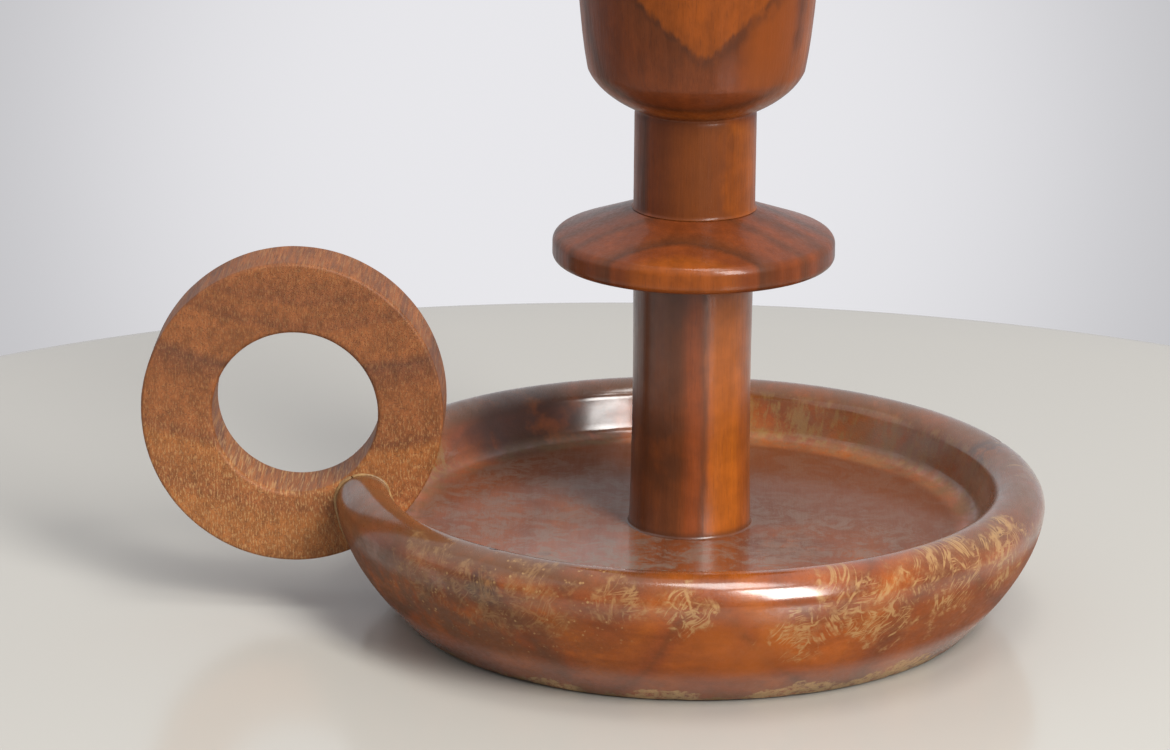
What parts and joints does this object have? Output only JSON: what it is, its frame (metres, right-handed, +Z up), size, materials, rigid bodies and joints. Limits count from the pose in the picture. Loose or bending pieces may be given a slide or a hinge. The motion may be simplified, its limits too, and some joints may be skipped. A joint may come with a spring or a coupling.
{
  "type": "candlestick",
  "caption": "Turned wooden chamberstick: saucer with a rolled rim and upright ring handle, column, drip disc and a cup with a lift-out brass candle liner.",
  "frame": {"origin": "on the column's axis, in the plane of the felt's underside, which stands on the table", "axes": "+Z up along the column and out of the candle bore; the ring handle is towards -X"},
  "size_m": [0.1655, 0.13, 0.1352],
  "materials": {
    "saucer_teak": "worn gloss varnish",
    "ring_teak": "bare, oiled",
    "dowel_wood": "bare",
    "column_teak": "gloss varnish",
    "disc_teak": "gloss varnish",
    "cup_teak": "gloss varnish",
    "liner_brass": "drawn, slightly tarnished",
    "screw_steel": "zinc plated",
    "felt_baize": "felted"
  },
  "bodies": {
    "stick": {"saucer": "saucer_teak", "ring_handle": "ring_teak", "ring_dowels": "dowel_wood", "column": "column_teak", "drip_disc": "disc_teak", "cup": "cup_teak", "base_screw": "screw_steel", "base_felt": "felt_baize"},
    "liner": {"candle_liner": "liner_brass"}
  },
  "joints": [
    {"name": "liner_lift", "type": "slide", "parent": "stick", "child": "liner", "axis": [0, 0, 1], "range_m": [0, 0.032]}
  ]
}
